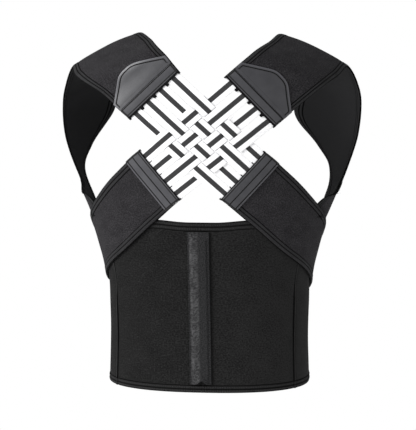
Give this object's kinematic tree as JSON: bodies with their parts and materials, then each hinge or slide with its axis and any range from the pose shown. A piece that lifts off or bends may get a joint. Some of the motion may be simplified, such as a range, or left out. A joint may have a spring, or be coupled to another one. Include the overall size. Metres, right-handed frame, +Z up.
{
  "type": "back support brace",
  "caption": "Worn back support vest: wide waist belt, padded shoulder straps and lower straps joined by woven elastic bands across the upper back.",
  "frame": {"origin": "midway between the tops of the two shoulder straps, where the vest hangs on the wearer's shoulders", "axes": "+Z up along the spine, +Y towards the wearer's chest, +X towards the wearer's right shoulder"},
  "size_m": [0.3996, 0.2256, 0.4565],
  "materials": {
    "cloth": "black neoprene-like cloth with a fine mottled face",
    "binding": "black ribbed binding tape, stitched along both edges",
    "sleeve": "dark grey brushed cloth",
    "hook": "black hook and loop tape",
    "leather": "dark grey smooth imitation leather",
    "elastic": "off-white elastic band with a dark grey stripe along its middle"
  },
  "bodies": {
    "root": {"back_panel": "cloth", "back_hem_binding": "binding", "back_top_binding": "binding", "right_flap": "cloth", "right_hem_binding": "binding", "right_top_binding": "binding", "left_flap": "cloth", "left_hem_binding": "binding", "left_top_binding": "binding", "right_side_welt": "binding", "left_side_welt": "binding", "spine_sleeve": "sleeve", "hook_tape": "hook", "right_shoulder_strap": "cloth", "right_shoulder_strap_arm_binding": "binding", "right_shoulder_strap_neck_binding": "binding", "right_upper_end_strip": "leather", "right_upper_pad": "leather", "right_lower_strap": "cloth", "right_lower_strap_upper_binding": "binding", "right_lower_strap_foot_binding": "binding", "right_lower_end_strip": "leather", "left_shoulder_strap": "cloth", "left_shoulder_strap_arm_binding": "binding", "left_shoulder_strap_neck_binding": "binding", "left_upper_end_strip": "leather", "left_upper_pad": "leather", "left_lower_strap": "cloth", "left_lower_strap_upper_binding": "binding", "left_lower_strap_foot_binding": "binding", "left_lower_end_strip": "leather", "falling_band_1": "elastic", "falling_band_2": "elastic", "falling_band_3": "elastic", "falling_band_4": "elastic", "rising_band_1": "elastic", "rising_band_2": "elastic", "rising_band_3": "elastic", "rising_band_4": "elastic"}
  },
  "joints": []
}
